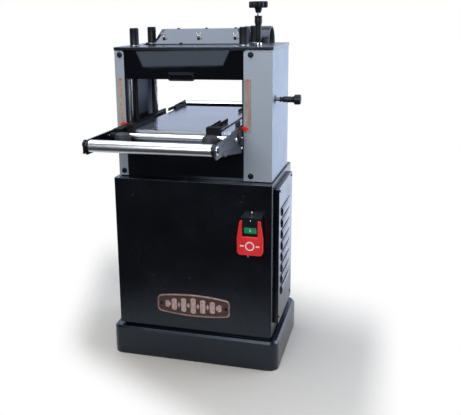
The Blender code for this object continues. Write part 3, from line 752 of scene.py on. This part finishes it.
def make_scales():
    """Two printed rulers, on the fronts of the side covers."""
    face = span("left_cover")[0][1]
    figures, lines = Shape(), Shape()
    for name, look, x0, x1, z0, z1 in (("left", "scale_strip_pale", -219, -201, 677, 827),
                                       ("right", "scale_strip", 147.5, 167, 683, 828)):
        strip = Shape().prism("y", rounded(x0, x1, z0, z1, 2), face - 0.25, face + 0.1)
        piece("scale_strip_" + name, strip, look)
        centre = (x0 + x1) / 2
        count = 30
        for k in range(count + 1):
            z = z0 + 5 + (z1 - z0 - 14) * k / count
            reach = 4 if k % 3 == 0 else 2.2
            for start, end in ((x1 - 1 - reach, x1 - 1), (x0 + 1, x0 + 1 + reach)):
                lines.box(start, end, face - INK[0], face - INK[1], z - 0.3, z + 0.3)
            if k % 3 == 1:
                numeral(figures, (k // 3 + 1) % 10, centre, z, face, 9.5)
        figures.prism("y", [(centre - 5, z1 - 3), (centre, z1 - 8), (centre + 5, z1 - 3),
                            (centre, z1 + 2)], face - INK[0], face + 0.1)
    piece("scale_figures", figures, "scale_ink")
    piece("scale_lines", lines, "scale_line")


def make_column(place):
    """One chromed column, one screw cap with its washer, and one lead screw."""
    low, high = span("column_" + place)
    cx, cy, _ = middle("column_" + place)
    radius = (high[0] - low[0]) / 2
    column = Shape().turned("z", (cx, cy), [(radius - 1, low[2]), (radius, low[2] + 1), (radius, low[2] + 12),
                                            (radius - 0.4, low[2] + 12.6), (radius - 0.4, low[2] + 14),
                                            (radius, low[2] + 14.6), (radius, high[2] - 1),
                                            (radius - 1, high[2])], 40)
    piece("guide_column_" + place, column, "chromed", replaces=("column_" + place,))
    low, high = span("screw_cap_" + place)
    cx, cy, _ = middle("screw_cap_" + place)
    radius = (high[0] - low[0]) / 2 - 1.5
    cap = Shape().turned("z", (cx, cy), [(radius, low[2] + 2.2), (radius, low[2] + 5),
                                         (radius, low[2] + 6, "ribs"), (radius, high[2] - 4, "ribs"),
                                         (radius, high[2] - 3), (radius - 0.8, high[2] - 1),
                                         (radius - 2.4, high[2])], 96)
    piece("cap_sleeve_" + place, cap, "black_moulding", replaces=("screw_cap_" + place,))
    washer = Shape().ring("z", (cx, cy), 6, radius + 1.5, low[2], low[2] + 3)
    piece("cap_washer_" + place, washer, "turned_steel", bevel=0.5)
    make_lead_screw(place)


def make_lead_screw(place):
    node = "lead_screw_" + place
    low, high = span(node)
    cx, cy, _ = middle(node)
    radius, lead, bottom, steps = 6.0, 4.0, 580.0, 16
    root, crest = radius - 1.1, radius - 0.5
    tooth = [(root, -1.4), (crest, -0.7), (crest, 0.7), (root, 1.4)]
    screw = Shape()
    screw.rod("z", (cx, cy), radius - 0.9, low[2], high[2], 24)
    turns = int((high[2] - 6 - bottom) / lead)
    loops = []
    for k in range(turns * steps + 1):
        angle = math.tau * k / steps
        z = bottom + lead * k / steps
        loops.append([(cx + r * math.cos(angle), cy + r * math.sin(angle), z + dz) for r, dz in tooth])
    screw.loft(*loops)
    screw.turned("z", (cx, cy), CHAIN_WHEEL, 36, "ribs")
    piece("threaded_rod_" + place, screw, "oiled_thread", "screw_" + place, replaces=(node,))


def make_hood():
    """Sloping dust hood with its screws, chute and round port."""
    refined("dust_hood", "hood_black", bevel=1.2)
    refined("dust_chute", "gloss_moulding", bevel=1.0)
    lining = Shape().ring("x", (185, 911), 44.5, 46.6, 102, 163, 48)
    piece("port_sleeve", lining, "port_lining", bevel=0.4)
    low, high = span("dust_hood")
    wings, blacks = Shape(), Shape()
    y, z = 38.0, low[2] + 17
    for x in (-133, -26, 84):
        blacks.rod("z", (x, y - 4), 3.4, z - 14, z + 3, 16)
        wings.rod("z", (x, y - 4), 2.6, z + 3, z + 7, 16)
        for side in (-1, 1):
            wings.prism("y", [(x + side * 1.5, z + 4), (x + side * 7, z + 8), (x + side * 7.5, z + 14),
                              (x + side * 4.5, z + 15), (x + side * 1.5, z + 9)], y - 5.2, y - 2.8)
    for x in (-98, -11, 78):
        blacks.screw("z", (x, 70), high[2] - 0.5, 1, 4.5, 4)
    for x, depth in ((-75, 16), (-182, 20)):
        blacks.screw("z", (x, depth + 2), low[2] + 1.8, 1, 5, 4)
    piece("hood_wing_screws", wings, "zinc_plate", bevel=0.4)
    piece("hood_screws", blacks, "black_moulding")


# ---- drive and feed
def make_drive():
    make_cutterhead()
    for node, look, body in (("infeed_roller", "turned_steel", "infeed"),
                             ("outfeed_roller", "belt_rubber", "outfeed")):
        low, high = span(node)
        _, cy, cz = middle(node)
        shape = Shape()
        shape.rod("x", (cy, cz), 8, low[0], high[0] - 5)
        start, end, ease = -187, 136, 1.5
        shape.turned("x", (cy, cz), [(13.6, start), (15, start + ease), (15, end - ease), (13.6, end)],
                     96, "ribs")
        shape.turned("x", (cy, cz), [(13, high[0] - 4), (13, high[0])], 48, "ribs")
        piece(node + "_turned", shape, look, body, replaces=(node,))
    for node, body in (("cutterhead_pulley", "cutterhead"), ("motor_pulley", "motor_rotor")):
        refined(node, "turned_steel", body, bevel=0.6)
    refined("kickback_fingers", "turned_steel", "fingers", bevel=0.3)
    make_belts()
    refined("lift_chain", "oiled_thread", bevel=0.3)


def make_cutterhead():
    """A head with staggered square inserts on helical rows."""
    low, high = span("cutterhead")
    cy, cz = 0.0, CUTTER_Z
    radius = (high[2] - low[2]) / 2
    x0, x1 = -188, 137
    body = Shape()
    body.rod("x", (cy, cz), 12, low[0], high[0])
    body.turned("x", (cy, cz), [(radius - 3, x0), (radius - 1.6, x0 + 1), (radius - 1.6, x1 - 1),
                                (radius - 3, x1)], 48)
    piece("cutterhead_body", body, "turned_steel", "cutterhead", replaces=("cutterhead",))
    knives = Shape()
    rows, count, size = 6, 20, 6.5
    for row in range(rows):
        for k in range(count):
            x = x0 + 9 + (x1 - x0 - 18) * (k + (row % 2) / 2) / count
            angle = math.tau * row / rows + 0.035 * k
            out = Vector((0, math.cos(angle), math.sin(angle)))
            across = Vector((0, -out.z, out.y))
            base = Vector((x, cy, cz))
            loops = []
            for reach in (radius - 3, radius - 0.9):
                loops.append([base + out * reach + across * (size * b) + Vector((size * a, 0, 0))
                              for a, b in ((-1, -0.5), (1, -0.5), (1, 0.5), (-1, 0.5))])
            knives.loft(*loops)
    piece("cutter_inserts", knives, "zinc_plate", "cutterhead")


def make_belts():
    """Two V-belts that run side by side in place of one band."""
    (x0, _, _), (x1, _, _) = span("drive_belt")
    cy, large, small, gap, steps = 0.0, 45.0, 32.0, 2, 24
    inner, outer, taper = 0.7, 8.3, 1.5
    width = (x1 - x0 - gap) / 2
    slope = math.asin((large - small) / (CUTTER_Z - MOTOR_Z))
    halves = ((MOTOR_Z, large, math.pi - slope, math.pi + 2 * slope),
              (CUTTER_Z, small, slope, math.pi - 2 * slope))
    belts = Shape()
    for a in (x0, x0 + width + gap):
        b = a + width
        loops = []
        for cz, radius, start, sweep in halves:
            for i in range(steps + 1):
                angle = start + sweep * i / steps
                ring = []
                for x, grow in ((a + taper, inner), (a, outer), (b, outer), (b - taper, inner)):
                    r = radius + grow
                    ring.append((x, cy + r * math.cos(angle), cz + r * math.sin(angle)))
                loops.append(ring)
        belts.loft(*loops, closed=True)
    piece("v_belts", belts, "belt_rubber", replaces=("drive_belt",))


# ---- crank and knobs
def star_knob(shape, axis, centre, foot, tip, radius):
    """A lobed knob with a domed face; foot and tip are heights on the axis."""
    rise = tip - foot
    profile = [(radius * 0.88, foot), (radius * 0.98, foot + rise * 0.06), (radius, foot + rise * 0.16),
               (radius, foot + rise * 0.80), (radius * 0.97, foot + rise * 0.92),
               (radius * 0.86, foot + rise * 0.99), (radius * 0.45, tip), (radius * 0.3, tip - rise * 0.06)]
    return shape.turned(axis, centre, profile, 72, "lobes")


def make_crank():
    low, high = span("crank_spindle")
    cx, cy, _ = middle("crank_spindle")
    sleeve = Shape()
    foot = 926
    sleeve.rod("z", (cx, cy), 5, low[2], foot, 24)
    sleeve.turned("z", (cx, cy), CHAIN_WHEEL, 36, "ribs")
    sleeve.turned("z", (cx, cy), [(6.5, foot), (8, 927), (8.5, 929), (8.3, 950), (8.3, 966), (9.9, 974),
                                  (10.4, 978), (10.4, 984), (9.8, 985), (9.8, 986.5), (10.4, 987.5),
                                  (10.4, 991.5), (9.4, 993)], 40)
    piece("crank_sleeve", sleeve, "black_moulding", "crank", replaces=("crank_spindle",))
    plate_top = span("top_plate")[1][2]
    bush = Shape().ring("z", (cx, cy), 5.6, 10, plate_top, plate_top + 7)
    piece("crank_bush", bush, "zinc_plate", bevel=0.8)
    neck = Shape().rod("z", (cx, cy), 4, 990, high[2], 24)
    piece("crank_neck", neck, "zinc_plate", "crank")
    low, high = span("crank_knob")
    knob = Shape()
    star_knob(knob, "z", (cx, cy), 1013.5, high[2], 24)
    knob.turned("z", (cx, cy), [(6.4, low[2]), (7.4, low[2] + 1.5), (8.6, 1006), (10.8, 1014),
                                (10.8, 1015)], 40)
    piece("crank_star", knob, "black_moulding", "crank", replaces=("crank_knob",))
    nut = Shape().rod("z", (cx, cy), 5, high[2] - 3, high[2] - 0.6, 24)
    piece("crank_cap_nut", nut, "zinc_plate", "crank")


def make_speed_knob():
    """A push-pull knob: plated rod, collar, waisted grip and lobed head."""
    low, high = span("speed_knob")
    _, cy, cz = middle("speed_knob")
    rod = Shape().rod("x", (cy, cz), 5, low[0], 239, 24)
    piece("speed_rod", rod, "dark_zinc", "speed_knob")
    grip = Shape()
    grip.turned("x", (cy, cz), [(5, 238.2), (7.2, 238.6), (7.4, 239.4), (7.4, 242), (6.4, 243), (5.2, 243.6),
                                (5.2, 245), (7.2, 246.5), (8.0, 249), (8.3, 262), (8.0, 270), (8.6, 275),
                                (10.5, 279)], 40)
    star_knob(grip, "x", (cy, cz), 278, high[0], 13)
    piece("speed_grip", grip, "black_moulding", "speed_knob", replaces=("speed_knob",))
    flange = Shape().ring("x", (cy, cz), 5.4, 11, 225.2, 227.6, 32)
    piece("speed_bush", flange, "dark_zinc", "stand", bevel=0.3)


# ---- table and arms
def make_table():
    make_table_top()
    for node, look, bevel in (("table_carriage", "painted_iron", 1.5), ("side_rail_left", "matt_black", 0.8),
                              ("side_rail_right", "ground_table", 0.8),
                              ("extension_arm_left", "gloss_black", 0.8),
                              ("extension_arm_right", "arm_grey", 0.8), ("guide_bar", "turned_steel", 0.8),
                              ("pointer_left", "red_enamel", 0.4), ("pointer_right", "red_enamel", 0.4)):
        refined(node, look, "table", bevel)
    for node, x0, x1 in (("front_roller", -184.4, 132.4), ("near_roller", -186, 136),
                         ("rear_roller", -185, 134)):
        make_roller(node, x0, x1)
    make_arm_hardware()
    for side in ("left", "right"):
        make_guide(side)
        make_rear_guide(side)
    low, high = span("pointer_left")
    cap = Shape().screw("y", (low[0] + 7, low[2] - 3), low[1] + 0.4, -1, 4.2, 2.0)
    cap.prism("y", rounded(low[0] + 3, low[0] + 12, low[2] - 8, low[2] + 1, 2), low[1] + 0.2, high[1])
    piece("pointer_screw", cap, "black_moulding", "table", bevel=0.3)


def make_table_top():
    low, high = span("table")
    refined("table", "ground_table", "table", bevel=1.0)
    lip = Shape()
    front, top = low[1], high[2]
    lip.prism("x", [(front + 0.4, top - 11), (front - 0.3, top - 10.4), (front - 0.3, top - 6.4),
                    (front + 0.1, top - 6), (front - 0.3, top - 5.6), (front - 0.3, top - 2),
                    (front + 0.4, top - 1.4)], low[0] + 1, high[0] - 1)
    piece("table_lip", lip, "milled_lip", "table")


def make_roller(node, x0, x1):
    """A steel tube from x0 to x1 on a thinner pin."""
    low, high = span(node)
    _, cy, cz = middle(node)
    radius = (high[2] - low[2]) / 2
    pin = 4 if radius > 10 else 3
    tube = Shape()
    tube.turned("x", (cy, cz), [(radius - 3, x0 + 1), (radius - 1, x0), (radius, x0 + 1), (radius, x1 - 1),
                                (radius - 1, x1), (radius - 3, x1 - 1)], 64)
    tube.rod("x", (cy, cz), pin, low[0], high[0], 24)
    piece(node + "_tube", tube, "roller_steel", node, replaces=(node,))
    if node == "near_roller":
        # Painted shade: a matt black sleeve over the near roller's left end darkens it, standing in for the
        # shade there.
        sleeve = Shape().ring("x", (cy, cz), radius - 0.4, radius + 0.25, x0 - 0.5, x0 + 23, 48)
        piece("near_roller_shade_sleeve", sleeve, "matt_black", node)


def make_arm_hardware():
    """Bearing rings, nuts, bolts, fittings and beads on the extension arms."""
    _, fy, fz = middle("front_roller")
    radius = (span("front_roller")[1][2] - span("front_roller")[0][2]) / 2
    face = span("extension_arm_right")[1][0]
    back = face - 0.2
    rings, bolts, dark, beads = Shape(), Shape(), Shape(), Shape()
    for side, start, end in ((1, 132.8, 139.2), (-1, -184.8, -190)):
        rings.turned("x", (fy, fz), [(radius - 0.6, start), (radius, start + 0.6 * side),
                                     (radius, end - 0.8 * side), (radius - 1.5, end)], 48)
    piece("roller_end_rings", rings, "black_moulding", "front_roller")
    washer = Shape().ring("x", (fy, fz), 6, 11.5, back, face + 2.0, 40)
    piece("axle_washer", washer, "zinc_plate", "table", bevel=0.4)
    dark.nut("x", (fy, fz), face, 1, 6.8, 5.5, 0.3)
    for y, z, size in ((-209, 680, 5.5), (-142, 670, 5), (-146, 645, 4)):
        bolts.ring("x", (y, z), 3, size + 1.5, back, face + 1.0, 24)
        bolts.nut("x", (y, z), face + 0.8, 1, size, 3.5, 0.2)
    piece("arm_bolts", bolts, "turned_steel", "table")
    beads.prism("x", [(-352, 668), (-338, 662), (-140, 640), (-140, 647), (-336, 670)], back, face + 1.6)
    beads.prism("x", [(-350, 690), (-222, 696), (-150, 697), (-150, 693), (-222, 691), (-346, 685)],
                back, face + 1.2)
    piece("arm_beads", beads, "arm_grey", "table", bevel=0.8)
    dark.turned("x", (-179, 683), [(9, back), (9, face + 2.5), (8, face + 3.5), (4.5, face + 3.5)], 32)
    dark.prism("x", [(-172, 660), (-134, 648), (-134, 668), (-160, 676)], back, face + 5)
    dark.prism("x", rounded(-152, -134, 702.5, 718, 4), 128, 138.5)
    piece("arm_fittings", dark, "black_moulding", "table", bevel=0.5)
    make_arm_bracket(fy, fz)
    make_tie_bar()
    make_table_gap()


def make_arm_bracket(fy, fz):
    """The bracket and nut that end the left arm at the front roller's axis."""
    left = span("extension_arm_left")[0][0]
    outline = [(fy - 12, fz - 19), (fy + 4, fz - 19), (fy + 12, fz - 6), (fy + 12, fz + 13),
               (fy - 4, fz + 16), (fy - 12, fz + 10)]
    bracket = Shape().prism("x", outline, left - 5, left + 0.5)
    bracket.nut("x", (fy, fz + 3), left - 4.8, -1, 6.5, 5, 0.3)
    piece("arm_end_bracket", bracket, "black_moulding", "table", bevel=1.0)


def make_tie_bar():
    """An angle section between the rear arms, beside the rear roller."""
    start, end = span("extension_arm_left")[0][0] + 4.5, span("extension_arm_right")[0][0] - 0.5
    _, y, z = middle("rear_roller")
    tie = Shape().prism("x", [(y - 20, z + 8), (y - 17, z + 8), (y - 17, z - 9), (y - 9, z - 9),
                              (y - 9, z - 12), (y - 20, z - 12)], start, end)
    piece("rear_tie_bar", tie, "matt_black", "table", bevel=0.5)


def make_table_gap():
    """The dark seal between the table's edge and the right rail."""
    low, high = span("table")
    edge, rail = high[0], span("side_rail_right")[0][0]
    section = [(edge + 0.4, high[2] - 9), (rail - 0.4, high[2] - 9), (rail - 0.4, high[2] + 0.1),
               (rail + 0.8, high[2] + 0.1), (rail + 0.8, high[2] + 0.6), (edge - 1.2, high[2] + 0.6),
               (edge - 1.2, high[2] + 0.1), (edge + 0.4, high[2] + 0.1)]
    seal = Shape().prism("y", section, low[1] + 4, 120)
    piece("table_seal", seal, "matt_black", "table")


def make_guide(side):
    """A black work guide and its dark lock knob."""
    refined("work_guide_" + side, "matt_black", "guide_" + side, bevel=0.6)
    node = "guide_knob_" + side
    low, high = span(node)
    cx, cy, _ = middle(node)
    radius = (high[0] - low[0]) / 2
    rise = high[2] - low[2]
    knob = Shape()
    profile = [(radius * wide, low[2] + rise * up, form) for wide, up, form in (
        (0.78, 0, "round"), (0.92, 0.08, "round"), (0.97, 0.2, "ribs"), (1, 0.38, "ribs"), (1, 0.62, "ribs"),
        (0.96, 0.79, "ribs"), (0.86, 0.91, "round"), (0.62, 0.98, "round"), (0.22, 1, "round"))]
    knob.turned("z", (cx, cy), profile, 96)
    piece("lock_knob_" + side, knob, "soft_grip", "knob_" + side, replaces=(node,))


def make_rear_guide(side):
    """The outfeed twin of a work guide: two bars and the block that holds them."""
    x0, x1 = (-152, -136) if side == "left" else (75, 106)
    _, rear, table_top = span("table")[1]
    top = span("work_guide_" + side)[1][2]
    guide = Shape()
    guide.box(x0, x1, rear - 12, rear + 12, table_top + 0.6, top)
    guide.box(x0, x1, rear + 4, rear + 12, table_top - 38, top - 1)
    for x, start in ((x0 + 0.1, 108), (x1 - 4, 140)):
        guide.box(x, x + 3.6, start, rear - 8, table_top + 1, top - 3)
    piece("rear_guide_" + side, guide, "matt_black", "table", bevel=0.6)


make_looks()
make_stage()
make_stand()
make_head()
make_hood()
make_drive()
make_crank()
make_speed_knob()
make_table()
